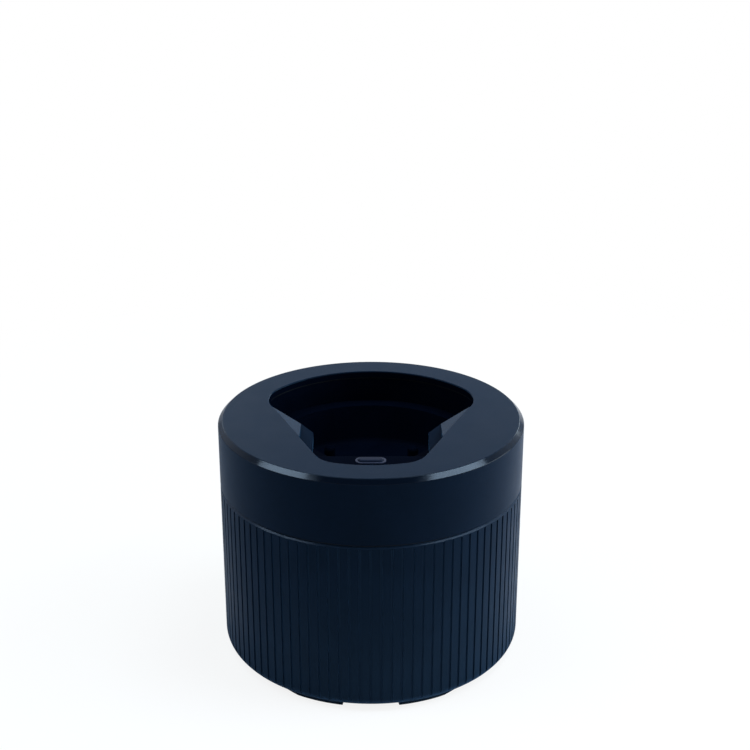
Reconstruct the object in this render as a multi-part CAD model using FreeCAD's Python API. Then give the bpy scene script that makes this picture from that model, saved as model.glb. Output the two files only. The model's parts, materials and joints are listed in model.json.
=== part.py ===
import FreeCAD, Part

from collections import namedtuple
import math
import os

# Shaver cleaning station: a round pod that washes the head of a docked shaver.
# Millimetres, +Z up, origin on the table under the middle of the pod, front towards -Y.
# Headings are degrees from +X, so the front is at -90.

V = FreeCAD.Vector
ORIGIN = V(0, 0, 0)
UP = V(0, 0, 1)
FAR = 200.0
NEAR = 0.01
FRONT = -90.0
SIDES = (-1, 1)
Screw = namedtuple("Screw", "head_radius head_height shank_radius shank_length")

# ---- Outside ----
outer_radius = 54.0
total_height = 87.0
cup_top = 62.95
cap_bottom = 63.6
cap_bevel = 1.6
bevel_edge_round = 0.3
skirt_wall = 3.0
top_wall = 2.4
cup_underside = 1.1
cup_edge_round = 4.3
cup_rim_chamfer = 0.6
cup_wall = 2.8
cup_floor_chamfer = 1.5
cup_mouth_flare = 0.8
cup_mouth_depth = 1.0
rib_count = 6
rib_thickness = 1.4
rib_gap = 0.6
rib_drop = 4.0
groove_count = 96
groove_width = 0.9
groove_depth = 0.5
groove_top = cup_top - 0.8

# ---- Feet: three pairs of arcs, each arc ramped up at its outer end ----
foot_outer_radius = 51.3
foot_inner_radius = 46.6
foot_start = 11.0
foot_ramp_start = 28.0
foot_end = 34.5
foot_sink = 0.6
foot_chamfer = 0.3

# ---- Shaver bay: a disc cut by two slanting sides ----
bay_radius = 42.0
bay_side_distance = 30.0
bay_side_heading = -22.5
bay_back_round = 17.0
bay_front_round = 10.0
rim_edge_round = 0.4
pocket_half_width = 20.0
cheek_distance = 22.6
cheek_heading = -40.0
facet_inner_x = 24.5
facet_slope = 12.0
ramp_slope = 11.0
ramp_high_y = -6.0
ramp_drop = 1.1
facet_pad_bottom = 80.5
facet_pad_margin = 1.5
shoulder_chamfer = 2.0
web_overlap = 0.5

# ---- Tray ----
tray_wall = 1.6
tray_gap = 0.25
ledge_height = 75.0
tray_top = 84.1
basin_floor = 61.0
basin_top_inset = 5.0
basin_floor_inset = 8.0
basin_front = -31.0
basin_waist_round = 3.0
basin_nose_round = 6.0
basin_floor_round = 2.5
shelf_height = 85.4
shelf_side_gap = 0.2
shelf_edge_round = 1.2
cheek_gap = 0.25
drain_y = 10.0
grille_radius = 9.0
grille_thickness = 1.2
grille_rings = ((6, 3.0), (12, 5.4))
grille_hole = 0.8
grille_middle_hole = 1.0
collar_depth = 3.4
spout_radius = 7.5
spout_bore = 6.0
spout_low = 42.8
peg_places = ((8.5, -24.0), (-8.5, -24.0), (15.5, 19.0), (-15.5, 19.0))
peg_radius = 2.0
peg_height = 5.0
peg_round = 1.4

# ---- Spray nozzle ----
nozzle_y = -14.0
nozzle_radius = 3.0
nozzle_height = 3.0
nozzle_boss_radius = 4.6
nozzle_boss_depth = 2.4
nozzle_foot = 2.4
nozzle_gap = 0.05
nozzle_round = 0.8
barb_radius = 1.4
barb_reach = 7.0
fluid_bore = 0.8
jet_count = 4
jet_radius = 0.4
jet_distance = 1.2
jet_plate = 1.2
jet_chamber_radius = 1.8
jet_chamber_height = 1.0

# ---- Power button ----
button_y = -35.5
button_length = 8.4
button_width = 3.0
button_top = 86.3
button_travel = 0.8
button_gap = 0.2
ring_length = 10.2
ring_width = 4.8
ring_low = 84.6
ring_high = 85.7
button_crown_round = 0.5
button_foot_length = 9.4
button_foot_width = 4.2
button_foot_drop = 1.8
button_foot_height = 1.2
button_stem_radius = 1.2
button_free_play = 0.05
boot_foot_radius = 2.5
boot_foot_bore = 1.8
boot_foot_height = 1.2
boot_neck_radius = 2.1
boot_neck_bore = 1.35
boot_neck_height = 1.0

# ---- Chassis ----
plate_low = 51.0
plate_high = 53.0
spigot_radius = 50.6
spigot_bore = 48.9
seam_flange_low = 63.0
seam_flange_radius = 53.2
upstand_radius = 50.8
upstand_top = 66.0
seal_groove_low = 58.0
seal_height = 1.6
seal_outer_radius = 50.9
seal_inner_radius = 49.7
seal_lip = 0.4
seal_lip_height = 0.5
boss_distance = 46.4
boss_radius = 2.4
boss_headings = (50.0, 130.0, -115.0, -65.0)
post_places = ((14.1, 38.8), (-14.1, 38.8), (31.2, 3.0), (-31.2, 3.0))
post_radius = 1.8
spout_clearance = 0.3
shaft_clearance = 0.6

# ---- Screws ----
chassis_screw = Screw(2.3, 1.5, 1.1, 12.0)
pump_screw = Screw(1.7, 0.8, 1.0, 6.4)
bracket_screw = Screw(2.2, 1.3, 1.1, 3.0)
board_screw = Screw(1.7, 1.0, 0.9, 5.0)
head_round_share = 0.35
recess_reach_share = 0.6
recess_depth_share = 0.5
recess_half_width = 0.2
screw_clearance = 0.2
screw_end_gap = 0.1

# ---- Pump and motor, in the left shoulder ----
shoulder_heading = -21.5
drive_distance = 40.4
pump_heading = 180.0 - shoulder_heading
pump_radius = 9.2
chamber_radius = 7.4
chamber_top = 49.8
pump_split = 46.2
pump_bottom = 44.8
lug_distance = 10.3
lug_radius = 2.2
lug_turns = (50.0, 130.0, -130.0, -50.0)
lug_recess_radius = 1.8
lug_recess_depth = 0.8
gasket_outer = 8.7
gasket_inner = 8.0
gasket_depth = 0.6
outlet_distance = 12.0
outlet_tower_radius = 4.0
outlet_bridge = 3.0
outlet_channel = 1.3
outlet_height = 48.2
riser_radius = 2.4
riser_gap = 0.03
riser_low = 47.0
riser_cap = 2.0
riser_round = 0.8
shaft_radius = 1.0
seal_bore_gap = 0.05
impeller_radius = 6.6
impeller_lift = 0.7
impeller_height = 2.6
impeller_disc = 0.8
impeller_hub_radius = 2.2
impeller_blades = 6
blade_root = 1.5
blade_thickness = 0.8
blade_sweep = -18.0
pipe_radius = 2.6
pipe_bore = 1.6
pipe_low = 10.0
strainer_foot_gap = 1.0
strainer_round = 0.8
strainer_slots = 6
strainer_slot_width = 0.7
hose_height = 56.2
hose_radius = 2.2
hose_start = 3.4
hose_straight = 5.0
hose_bend = 12.0
hose_slack = 0.05

# ---- Motor ----
motor_radius = 7.6
motor_low = 54.5
motor_high = 77.5
motor_cap_high = 80.5
motor_skin = 0.8
motor_foot_round = 1.0
motor_cap_round = 0.8
bracket_ear_distance = 10.6
bracket_ear_radius = 2.4
bracket_ear_turns = (-90.0, 90.0)
terminal_offset = 4.2
terminal_thickness = 0.5
terminal_width = 1.8
terminal_root = 1.5
terminal_reach = 1.6
bearing_radius = 2.5
bearing_length = 2.4
magnet_bore = 5.2
magnet_end_gap = 4.0
magnet_side_gap = 1.6
shaft_lift = 0.9
shaft_end_gap = 0.8
shaft_tip_round = 0.2
armature_radius = 4.8
armature_end_gap = 5.0
pole_gap = 1.0
pole_gap_root = 1.8
winding_slot_radius = 0.9
winding_slot_distance = 3.2
commutator_radius = 2.2
commutator_end_gap = 1.0

# ---- Battery, in the right shoulder ----
battery_heading = shoulder_heading
battery_radius = 7.1
battery_low = 55.2
battery_high = 80.2
battery_edge_round = 0.5
battery_pole_radius = 2.8
battery_pole_height = 1.0
cradle_wall = 1.3
cradle_gap = 0.2
cradle_floor = 1.7
cradle_depth = 7.0
cradle_notch = 4.6
tab_thickness = 0.3
tab_width = 3.6
tab_reach = 11.0
tab_leg = 8.0
tab_tail = 4.0
tab_top_front = 6.0
tab_top_back = 3.0

# ---- Boards ----
board_thickness = 1.2
board_hole = 1.1
control_board_low = 71.6
control_board_x = 14.0
control_board_y = (-48.0, -32.6)
control_board_corner = 1.2
control_post = (11.0, -45.0)
control_post_radius = 2.3
controller_chip = ((-6.0, -1.0), (-42.5, -37.5), 0.9)
charger_chip = ((2.5, 6.5), (-41.5, -37.5), 1.0)
coil_block = ((1.0, 5.0), (-47.0, -43.0), 2.0)
coil_round = 0.8
capacitor_place = (-4.0, -45.6)
capacitor_radius = 1.6
capacitor_height = 3.0
charge_board_low = 66.2
charge_board_x = 9.0
charge_board_y = (41.2, 49.6)
charge_board_corner = 1.0
charge_post = (6.6, 43.8)
charge_post_radius = 2.2
switch_half_width = 2.5
switch_height = 3.4
switch_plunger_radius = 1.4
switch_plunger_height = 0.9
led_distance = 4.8
led_half_length = 0.5
led_half_width = 0.8
led_height = 0.8
socket_width = 8.94
socket_height = 3.26
socket_skin = 0.3
socket_hole_gap = 0.3
socket_inner_y = 45.6
socket_outer_y = 52.8
socket_back = 1.0
socket_dish_length = 12.6
socket_dish_width = 6.6
socket_dish_depth = 1.2
tongue_half_width = 3.3
tongue_thickness = 0.7
tongue_recess = 1.2
lead_socket_x = 10.5
lead_socket_half = 2.0
lead_socket_y = (-40.5, -36.5)
lead_socket_height = 2.6
lead_entry_x = 12.5
lead_entry = 70.3
lead_radius = 0.4
lead_bend = 1.8
lead_clip_height = 0.8

# ---- Cartridge ----
tub_radius = 47.6
tub_low = 4.2
tub_high = 42.0
tub_wall = 1.5
tub_edge_round = 3.0
tub_inner_round = 1.8
lid_high = 43.6
lid_edge_round = 0.6
lip_depth = 2.5
lip_wall = 1.2
lip_gap = 0.05
lip_port_gap = 1.6
port_radius = 4.4
grommet_bore = 3.0
grommet_upper_flange = (1.4, 0.6)
grommet_lower_flange = (1.0, 0.9)
drain_port_radius = 9.5
basket_radius = 15.5
basket_low = 26.0
basket_wall = 1.2
basket_rim = 1.5
basket_slots = 12
basket_slot_width = 3.6
basket_slot_foot = 3.0
basket_slot_head = 4.0
basket_hole_radius = 2.0
basket_hole_distance = 7.5
basket_holes = 6
filter_side_gap = 1.5
filter_foot_gap = 0.1
filter_head_gap = 6.0


# ---- Shape helpers ----

def polar(distance, heading, z=0.0):
    """A point at a distance from the pod's axis along a heading."""
    angle = math.radians(heading)
    return V(distance * math.cos(angle), distance * math.sin(angle), z)


PUMP = polar(drive_distance, pump_heading)
BATTERY = polar(drive_distance, battery_heading)
OUTLET = polar(drive_distance - outlet_distance, pump_heading)


def cylinder(radius, low, high, x=0.0, y=0.0):
    return Part.makeCylinder(radius, high - low, V(x, y, low), UP)


def tube(outer, inner, low, high, x=0.0, y=0.0):
    return cylinder(outer, low, high, x, y).cut(cylinder(inner, low, high, x, y))


def block(x_range, y_range, z_range):
    low = V(x_range[0], y_range[0], z_range[0])
    return Part.makeBox(x_range[1] - low.x, y_range[1] - low.y, z_range[1] - low.z, low)


def pill(length, width, low, high, x=0.0, y=0.0):
    """An upright prism with straight long sides and round ends."""
    half = (length - width) / 2
    radius = width / 2
    middle = block((x - half, x + half), (y - radius, y + radius), (low, high))
    ends = [cylinder(radius, low, high, x + side * half, y) for side in SIDES]
    return middle.multiFuse(ends).removeSplitter()


def turned(points, angle=360.0):
    """Revolve a profile of (radius, height) corners about the pod's axis."""
    corners = [V(radius, 0, z) for radius, z in points]
    return Part.Face(Part.makePolygon(corners + corners[:1])).revolve(ORIGIN, UP, angle)


def turn(shape, heading):
    """A copy of a shape turned about the pod's axis."""
    copy = shape.copy()
    copy.rotate(ORIGIN, UP, heading)
    return copy


def beyond(distance, heading, low, high):
    """Everything further out than a distance along a heading."""
    slab = block((distance, FAR), (-FAR, FAR), (low, high))
    return turn(slab, heading)


def mirrored(shape):
    """The same shape on the other side of the pod's middle plane."""
    return shape.mirror(ORIGIN, V(1, 0, 0))


def upright_edges(shape):
    return [e for e in shape.Edges if e.BoundBox.XLength + e.BoundBox.YLength < NEAR]


def edges_below(shape, z):
    return [e for e in shape.Edges if e.BoundBox.ZMax < z + NEAR]


def edges_above(shape, z):
    return [e for e in shape.Edges if e.BoundBox.ZMin > z - NEAR]


def drilled(shape, radius, places, low=-FAR, high=FAR):
    """The shape with upright round holes at some places."""
    holes = [cylinder(radius, low, high, x, y) for x, y in places]
    return shape.cut(Part.makeCompound(holes))


def fused(shapes):
    return shapes[0].multiFuse(shapes[1:]).removeSplitter()


def bent_path(points, bend):
    """Straight runs joined by tangent arcs of one radius."""
    edges = []
    start = points[0]
    for before, corner, after in zip(points, points[1:], points[2:]):
        back = (before - corner).normalize()
        onward = (after - corner).normalize()
        half_turn = (math.pi - back.getAngle(onward)) / 2
        reach = bend * math.tan(half_turn)
        leave = corner + back * reach
        join = corner + onward * reach
        middle = corner + (back + onward).normalize() * (bend / math.cos(half_turn) - bend)
        edges.append(Part.LineSegment(start, leave).toShape())
        edges.append(Part.Arc(leave, middle, join).toShape())
        start = join
    edges.append(Part.LineSegment(start, points[-1]).toShape())
    return Part.Wire(edges)


def bent_rod(points, radius, bend):
    """A round rod along a bent path."""
    section = Part.Wire(Part.makeCircle(radius, points[0], points[1] - points[0]))
    return bent_path(points, bend).makePipeShell([section], True, True)


def screw(x, y, seat, size, facing=1):
    """A pan-head screw: the head stands on the seat, facing up (1) or down (-1)."""
    head_radius, head_height, shank_radius, shank_length = size
    head = cylinder(head_radius, 0, head_height)
    head = head.makeFillet(head_height * head_round_share, [head.Edges[0]])
    reach = head_radius * recess_reach_share
    along = (-reach, reach)
    across = (-recess_half_width, recess_half_width)
    depth = (head_height * recess_depth_share, head_height)
    cross = fused([block(along, across, depth), block(across, along, depth)])
    shank = cylinder(shank_radius, -shank_length, 0)
    body = head.cut(cross).fuse(shank).removeSplitter()
    if facing < 0:
        body.rotate(ORIGIN, V(1, 0, 0), 180)
    body.translate(V(x, y, seat))
    return body


# ---- Plan shapes of the shaver bay ----

def rim_prism(low, high, grow=0.0):
    """The opening in the top face: a disc with two flattened sides and round corners."""
    prism = cylinder(bay_radius + grow, low, high)
    for heading in (bay_side_heading, 180.0 - bay_side_heading):
        prism = prism.cut(beyond(bay_side_distance + grow, heading, low, high))
    back = [e for e in upright_edges(prism) if e.BoundBox.YMin > 0]
    prism = prism.makeFillet(bay_back_round + grow, back)
    front = [e for e in upright_edges(prism) if e.BoundBox.YMin < -bay_side_distance]
    return prism.makeFillet(bay_front_round + grow, front)


def cheek_blocks(low, high, grow=0.0):
    """The two corners beside the head pocket that the bay leaves solid."""
    right = beyond(pocket_half_width + grow, 0.0, low, high)
    right = right.common(beyond(cheek_distance + grow, cheek_heading, low, high))
    return right.fuse(mirrored(right))


def bay_prism(low, high, grow=0.0):
    """The bay below the facets: the rim's plan without the two cheeks."""
    return rim_prism(low, high, grow).cut(cheek_blocks(low, high, grow))


def basin_prism(low, high, inset):
    """The basin's plan: a rounded fan behind a straight-sided pocket."""
    fan = cylinder(bay_radius - inset, low, high)
    for heading in (cheek_heading, 180.0 - cheek_heading):
        fan = fan.cut(beyond(cheek_distance - inset, heading, low, high))
    half = pocket_half_width - inset
    front = basin_front + (inset - basin_top_inset) / 2
    fan = fan.cut(block((-FAR, FAR), (-FAR, front), (low, high)))
    pocket = block((-half, half), (front, 0), (low, high))
    plan = fused([fan, pocket])
    back = [e for e in upright_edges(plan) if e.BoundBox.YMin > 0]
    plan = plan.makeFillet(bay_back_round - inset, back)
    waist = [e for e in upright_edges(plan) if front + NEAR < e.BoundBox.YMin < 0]
    plan = plan.makeFillet(basin_waist_round, waist)
    nose = [e for e in upright_edges(plan) if e.BoundBox.YMin < front + NEAR]
    return plan.makeFillet(basin_nose_round, nose)


def basin_outline(inset, z):
    prism = basin_prism(z, z + 1.0, inset)
    floor = min(prism.Faces, key=lambda face: face.CenterOfMass.z)
    return floor.OuterWire


def basin_loft(top_inset, top, bottom_inset, bottom):
    """The basin, drawn in towards its floor."""
    wires = [basin_outline(bottom_inset, bottom), basin_outline(top_inset, top)]
    return Part.makeLoft(wires, True, True)


# ---- Base ----

def foot_arcs():
    """Three pairs of arc-shaped pads, each pair about a heading."""
    top = cup_underside + foot_sink
    pad = turned([
        (foot_inner_radius + foot_chamfer, 0.0),
        (foot_outer_radius - foot_chamfer, 0.0),
        (foot_outer_radius, foot_chamfer),
        (foot_outer_radius, top),
        (foot_inner_radius, top),
        (foot_inner_radius, foot_chamfer),
    ], foot_end - foot_start)
    ramp_length = foot_outer_radius * math.radians(foot_end - foot_ramp_start)
    below = block((0, FAR), (0, FAR), (-FAR, 0))
    below.rotate(ORIGIN, V(1, 0, 0), math.degrees(math.atan2(cup_underside, ramp_length)))
    right = turn(pad.cut(turn(below, foot_ramp_start - foot_start)), FRONT + foot_start)
    pair = [right, mirrored(right)]
    return [turn(arc, 120.0 * k) for k in range(3) for arc in pair]


def foot_pads():
    return Part.makeCompound(foot_arcs())


def grooves():
    """Narrow upright grooves from under the cup's rim band to its rounded bottom edge."""
    groove_arc = math.degrees(groove_width / outer_radius)
    groove = turned([
        (outer_radius - groove_depth, 0.0),
        (outer_radius + 1.0, 0.0),
        (outer_radius + 1.0, groove_top),
        (outer_radius - groove_depth, groove_top),
    ], groove_arc)
    pitch = 360.0 / groove_count
    return [turn(groove, FRONT + k * pitch - groove_arc / 2) for k in range(groove_count)]


def base_cup():
    body = cylinder(outer_radius, cup_underside, cup_top)
    body = body.makeFillet(cup_edge_round, edges_below(body, cup_underside))
    body = body.makeChamfer(cup_rim_chamfer, edges_above(body, cup_top))
    bore = outer_radius - cup_wall
    floor = cup_underside + cup_wall
    body = body.cut(turned([
        (0, floor),
        (bore - cup_floor_chamfer, floor),
        (bore, floor + cup_floor_chamfer),
        (bore, cup_top - cup_mouth_depth),
        (bore + cup_mouth_flare, cup_top),
        (bore + cup_mouth_flare, FAR),
        (0, FAR),
    ]))
    rib_reach = (tub_radius + rib_gap, bore + web_overlap)
    rib_side = (-rib_thickness / 2, rib_thickness / 2)
    rib = block(rib_reach, rib_side, (floor - web_overlap, tub_high - rib_drop))
    pitch = 360.0 / rib_count
    body = fused([body] + [turn(rib, pitch * (k + 0.5)) for k in range(rib_count)])
    return body.cut(Part.makeCompound(grooves() + foot_arcs()))


# ---- Cartridge ----

def cartridge_tub():
    tub = cylinder(tub_radius, tub_low, tub_high)
    tub = tub.makeFillet(tub_edge_round, edges_below(tub, tub_low))
    hollow = cylinder(tub_radius - tub_wall, tub_low + tub_wall, FAR)
    return tub.cut(hollow.makeFillet(tub_inner_round, edges_below(hollow, tub_low + tub_wall)))


def cartridge_lid():
    lid = cylinder(tub_radius, tub_high, lid_high)
    lid = lid.makeFillet(lid_edge_round, edges_above(lid, lid_high))
    lip_radius = tub_radius - tub_wall - lip_gap
    lip = tube(lip_radius, lip_radius - lip_wall, tub_high - lip_depth, tub_high)
    lip = drilled(lip, port_radius + lip_port_gap, [(PUMP.x, PUMP.y)])
    lid = fused([lid, lip])
    lid = drilled(lid, drain_port_radius, [(0, drain_y)], low=tub_high - NEAR)
    return drilled(lid, port_radius, [(PUMP.x, PUMP.y)])


def intake_seal():
    """A grommet that grips the lid on both sides of the intake port."""
    over, over_height = grommet_upper_flange
    under, under_height = grommet_lower_flange
    grommet = fused([
        cylinder(port_radius, tub_high, lid_high, PUMP.x, PUMP.y),
        cylinder(port_radius + over, lid_high, lid_high + over_height, PUMP.x, PUMP.y),
        cylinder(port_radius + under, tub_high - under_height, tub_high, PUMP.x, PUMP.y),
    ])
    return drilled(grommet, grommet_bore, [(PUMP.x, PUMP.y)])


def filter_basket():
    inside = basket_radius - basket_wall
    basket = fused([
        cylinder(basket_radius, basket_low, tub_high, 0, drain_y),
        cylinder(basket_radius + basket_rim, tub_high - basket_wall, tub_high, 0, drain_y),
    ])
    basket = basket.cut(cylinder(inside, basket_low + basket_wall, tub_high, 0, drain_y))
    slot_reach = (inside - 1.0, basket_radius + 1.0)
    slot_side = (-basket_slot_width / 2, basket_slot_width / 2)
    slot = block(slot_reach, slot_side, (basket_low + basket_slot_foot, tub_high - basket_slot_head))
    slots = [turn(slot, 360.0 * k / basket_slots) for k in range(basket_slots)]
    ring = [polar(basket_hole_distance, 360.0 * k / basket_holes) for k in range(basket_holes)]
    floor = (basket_low - 1.0, basket_low + 2 * basket_wall)
    holes = [cylinder(basket_hole_radius, *floor, p.x, p.y) for p in ring + [ORIGIN]]
    windows = Part.makeCompound(slots + holes)
    windows.translate(V(0, drain_y, 0))
    return basket.cut(windows)


def cartridge_filter():
    low = basket_low + basket_wall + filter_foot_gap
    return cylinder(basket_radius - filter_side_gap, low, tub_high - filter_head_gap, 0, drain_y)


# ---- Cap ----

def boss_places():
    return [polar(boss_distance, heading)[:2] for heading in boss_headings]


def facet_cutter():
    """The space above a side facet, which falls inwards from the rim's straight side."""
    tilted = block((-FAR, 0), (-FAR, FAR), (0, FAR))
    tilted.rotate(ORIGIN, V(0, 1, 0), -facet_slope)
    tilted.translate(V(bay_side_distance, 0, total_height))
    tilted.rotate(ORIGIN, UP, bay_side_heading)
    return tilted.common(block((facet_inner_x, FAR), (-FAR, FAR), (0, FAR)))


def ramp_cutter():
    """The space above the strip beside the pocket, which falls towards the front."""
    tilted = block((pocket_half_width - 1.0, facet_inner_x), (-FAR, FAR), (0, FAR))
    tilted.rotate(ORIGIN, V(1, 0, 0), ramp_slope)
    tilted.translate(V(0, ramp_high_y, total_height - ramp_drop))
    return tilted


def cover_shell():
    inner_radius = outer_radius - skirt_wall
    ceiling = total_height - top_wall
    shell = turned([
        (inner_radius, cap_bottom),
        (outer_radius, cap_bottom),
        (outer_radius, total_height - cap_bevel),
        (outer_radius - cap_bevel, total_height),
        (0, total_height),
        (0, ceiling),
        (inner_radius - shoulder_chamfer, ceiling),
        (inner_radius, ceiling - shoulder_chamfer),
    ])
    high_edges = edges_above(shell, total_height - cap_bevel)
    bevel = [e for e in high_edges if len(e.Vertexes) == 1]
    return shell.makeFillet(bevel_edge_round, bevel)


def top_cover():
    ceiling = total_height - top_wall
    pad = rim_prism(facet_pad_bottom, ceiling + web_overlap, facet_pad_margin)
    pad = pad.common(cheek_blocks(facet_pad_bottom, total_height, -facet_pad_margin))
    bosses = [cylinder(boss_radius, plate_high, ceiling + web_overlap, x, y) for x, y in boss_places()]
    cover = fused([cover_shell(), pad] + bosses)
    cover = cover.cut(bay_prism(plate_high, total_height + 1.0))
    reach = rim_prism(facet_pad_bottom, total_height + 1.0)
    for cutter in (facet_cutter(), ramp_cutter()):
        side = cutter.common(reach)
        cover = cover.cut(side).cut(mirrored(side))
    top_edges = edges_above(cover, total_height)
    rim = [e for e in top_edges if math.hypot(*e.Vertexes[0].Point[:2]) < bay_radius + NEAR]
    cover = cover.makeFillet(rim_edge_round, rim)
    pilot_end = plate_low + chassis_screw.shank_length + screw_end_gap
    cover = drilled(cover, chassis_screw.shank_radius, boss_places(), high=pilot_end)
    return cover.cut(socket_hole())


def facing_back(shape):
    """A shape drawn upright, laid down to point out of the back at the socket's height."""
    shape.rotate(ORIGIN, V(1, 0, 0), -90)
    shape.translate(V(0, 0, charge_board_low + board_thickness + socket_height / 2))
    return shape


def socket_hole():
    """The charging slot in the back of the skirt, with a shallow dish round it."""
    length = socket_width + socket_hole_gap
    width = socket_height + socket_hole_gap
    slot = pill(length, width, outer_radius - skirt_wall - 1.0, outer_radius + 1.0)
    dish_low = outer_radius - socket_dish_depth
    dish = pill(socket_dish_length, socket_dish_width, dish_low, outer_radius + 1.0)
    return facing_back(fused([slot, dish]))


# ---- Shaver tray ----

def before(y):
    """Everything in front of a plane."""
    return block((-FAR, FAR), (-FAR, y), (0, FAR))


def pad_clearance():
    """Room for the cover's pads below the facets."""
    low = facet_pad_bottom - cheek_gap
    return cheek_blocks(low, total_height, -facet_pad_margin - cheek_gap)


def tray_pegs():
    """Round-tipped pegs on the basin floor that carry the shaver's head."""
    pegs = []
    top = basin_floor + peg_height
    for x, y in peg_places:
        peg = cylinder(peg_radius, basin_floor - web_overlap, top, x, y)
        pegs.append(peg.makeFillet(peg_round, edges_above(peg, top)))
    return pegs


def button_window(high):
    """The button's hole through the shelf, with the light ring's seat round it."""
    hole_length = button_length + 2 * button_gap
    hole_width = button_width + 2 * button_gap
    hole = pill(hole_length, hole_width, ledge_height, high, 0, button_y)
    seat = pill(ring_length, ring_width, ring_low, high, 0, button_y)
    return fused([hole, seat])


def shaver_tray():
    outside = tray_gap + tray_wall
    low = ledge_height - tray_wall
    wall = bay_prism(low, tray_top, outside).cut(bay_prism(ledge_height, tray_top + 1.0, tray_gap))
    shelf = bay_prism(low, tray_top, outside)
    shelf = shelf.fuse(bay_prism(ledge_height, shelf_height, -shelf_side_gap))
    basin = basin_loft(basin_top_inset - tray_wall, ledge_height, basin_floor_inset - tray_wall,
                       basin_floor - tray_wall)
    tray = fused([
        wall,
        shelf.common(before(basin_front)),
        basin,
        cylinder(spout_radius, spout_low, basin_floor, 0, drain_y),
        cylinder(grille_radius + tray_wall, basin_floor - collar_depth, basin_floor, 0, drain_y),
        cylinder(nozzle_boss_radius, basin_floor - nozzle_boss_depth, basin_floor, 0, nozzle_y),
    ])
    cavity = basin_loft(basin_top_inset, ledge_height, basin_floor_inset, basin_floor)
    cavity = cavity.makeFillet(basin_floor_round, edges_below(cavity, basin_floor))
    under_shelf = bay_prism(low - 1.0, shelf_height - tray_wall, tray_gap)
    hollows = [
        cavity,
        basin_prism(ledge_height, total_height, basin_top_inset),
        under_shelf.common(before(basin_front - tray_wall)),
        pad_clearance(),
        cylinder(grille_radius, basin_floor - grille_thickness, basin_floor + 1.0, 0, drain_y),
        cylinder(spout_bore, spout_low - 1.0, basin_floor, 0, drain_y),
        cylinder(nozzle_radius + nozzle_gap, spout_low, basin_floor + 1.0, 0, nozzle_y),
        button_window(total_height),
    ]
    for hollow in hollows:
        tray = tray.cut(hollow)
    tray = fused([tray] + tray_pegs())
    brow = [e for e in edges_above(tray, shelf_height) if e.BoundBox.YMin > basin_front - NEAR]
    return tray.makeFillet(shelf_edge_round, brow)


def tray_gasket():
    """A rubber strip between the tray's top edge and the cover."""
    low = tray_top
    high = total_height - top_wall
    strip = bay_prism(low, high, tray_gap + tray_wall).cut(bay_prism(low, high, tray_gap))
    return strip.cut(pad_clearance())


def drain_grille():
    low = basin_floor - grille_thickness
    grille = cylinder(grille_radius, low, basin_floor, 0, drain_y)
    grille = drilled(grille, grille_middle_hole, [(0, drain_y)])
    for count, distance in grille_rings:
        ring = [polar(distance, 360.0 * k / count) for k in range(count)]
        grille = drilled(grille, grille_hole, [(p.x, p.y + drain_y) for p in ring])
    return grille


def lying(radius, place, direction, length):
    """A round rod from a place in a level direction."""
    return Part.makeCylinder(radius, length, place, direction)


def spray_nozzle():
    """An upright jet through the tray floor, with its hose barb below."""
    place = V(0, nozzle_y, hose_height)
    top = basin_floor + nozzle_height
    body = cylinder(nozzle_radius, hose_height - nozzle_foot, top, 0, nozzle_y)
    body = body.makeFillet(nozzle_round, edges_above(body, top))
    body = fused([body, lying(barb_radius, place, V(-1, 0, 0), barb_reach)])
    chamber_top = top - jet_plate
    chamber_low = chamber_top - jet_chamber_height
    around = [polar(jet_distance, 360.0 * (k + 0.5) / jet_count) for k in range(jet_count)]
    channels = [
        lying(fluid_bore, place, V(-1, 0, 0), barb_reach + 1.0),
        cylinder(fluid_bore, hose_height, chamber_top, 0, nozzle_y),
        cylinder(jet_chamber_radius, chamber_low, chamber_top, 0, nozzle_y),
    ]
    for p in around:
        channels.append(cylinder(jet_radius, chamber_low, top + 1.0, p.x, p.y + nozzle_y))
    return body.cut(fused(channels))


# ---- Chassis ----

def chassis():
    body = turned([
        (0, plate_low),
        (spigot_radius, plate_low),
        (spigot_radius, seal_groove_low),
        (seal_inner_radius, seal_groove_low),
        (seal_inner_radius, seal_groove_low + seal_height),
        (spigot_radius, seal_groove_low + seal_height),
        (spigot_radius, seam_flange_low),
        (seam_flange_radius, seam_flange_low),
        (seam_flange_radius, cap_bottom),
        (upstand_radius, cap_bottom),
        (upstand_radius, upstand_top),
        (spigot_bore, upstand_top),
        (spigot_bore, plate_high),
        (0, plate_high),
    ])
    posts = [cylinder(post_radius, plate_low, ledge_height - tray_wall, x, y) for x, y in post_places]
    for low, radius, places in (
        (control_board_low, control_post_radius, control_screw_places()),
        (charge_board_low, charge_post_radius, charge_screw_places()),
    ):
        posts += [cylinder(radius, plate_low, low, x, y) for x, y in places]
    body = fused([body] + posts)
    body = drilled(body, spout_radius + spout_clearance, [(0, drain_y)])
    body = drilled(body, bearing_radius + shaft_clearance, [(PUMP.x, PUMP.y)])
    body = drilled(body, riser_radius + riser_gap, [(OUTLET.x, OUTLET.y)])
    body = drilled(body, chassis_screw.shank_radius + screw_clearance, boss_places())
    pump_pilot = pump_bottom + lug_recess_depth + pump_screw.shank_length + screw_end_gap
    body = drilled(body, pump_screw.shank_radius, pump_screw_places(), high=pump_pilot)
    bracket_pilot = motor_low - bracket_screw.shank_length - screw_end_gap
    body = drilled(body, bracket_screw.shank_radius, bracket_screw_places(), low=bracket_pilot)
    for low, places in (
        (control_board_low, control_screw_places()),
        (charge_board_low, charge_screw_places()),
    ):
        pilot = low + board_thickness - board_screw.shank_length - screw_end_gap
        body = drilled(body, board_screw.shank_radius, places, low=pilot)
    return body


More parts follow.
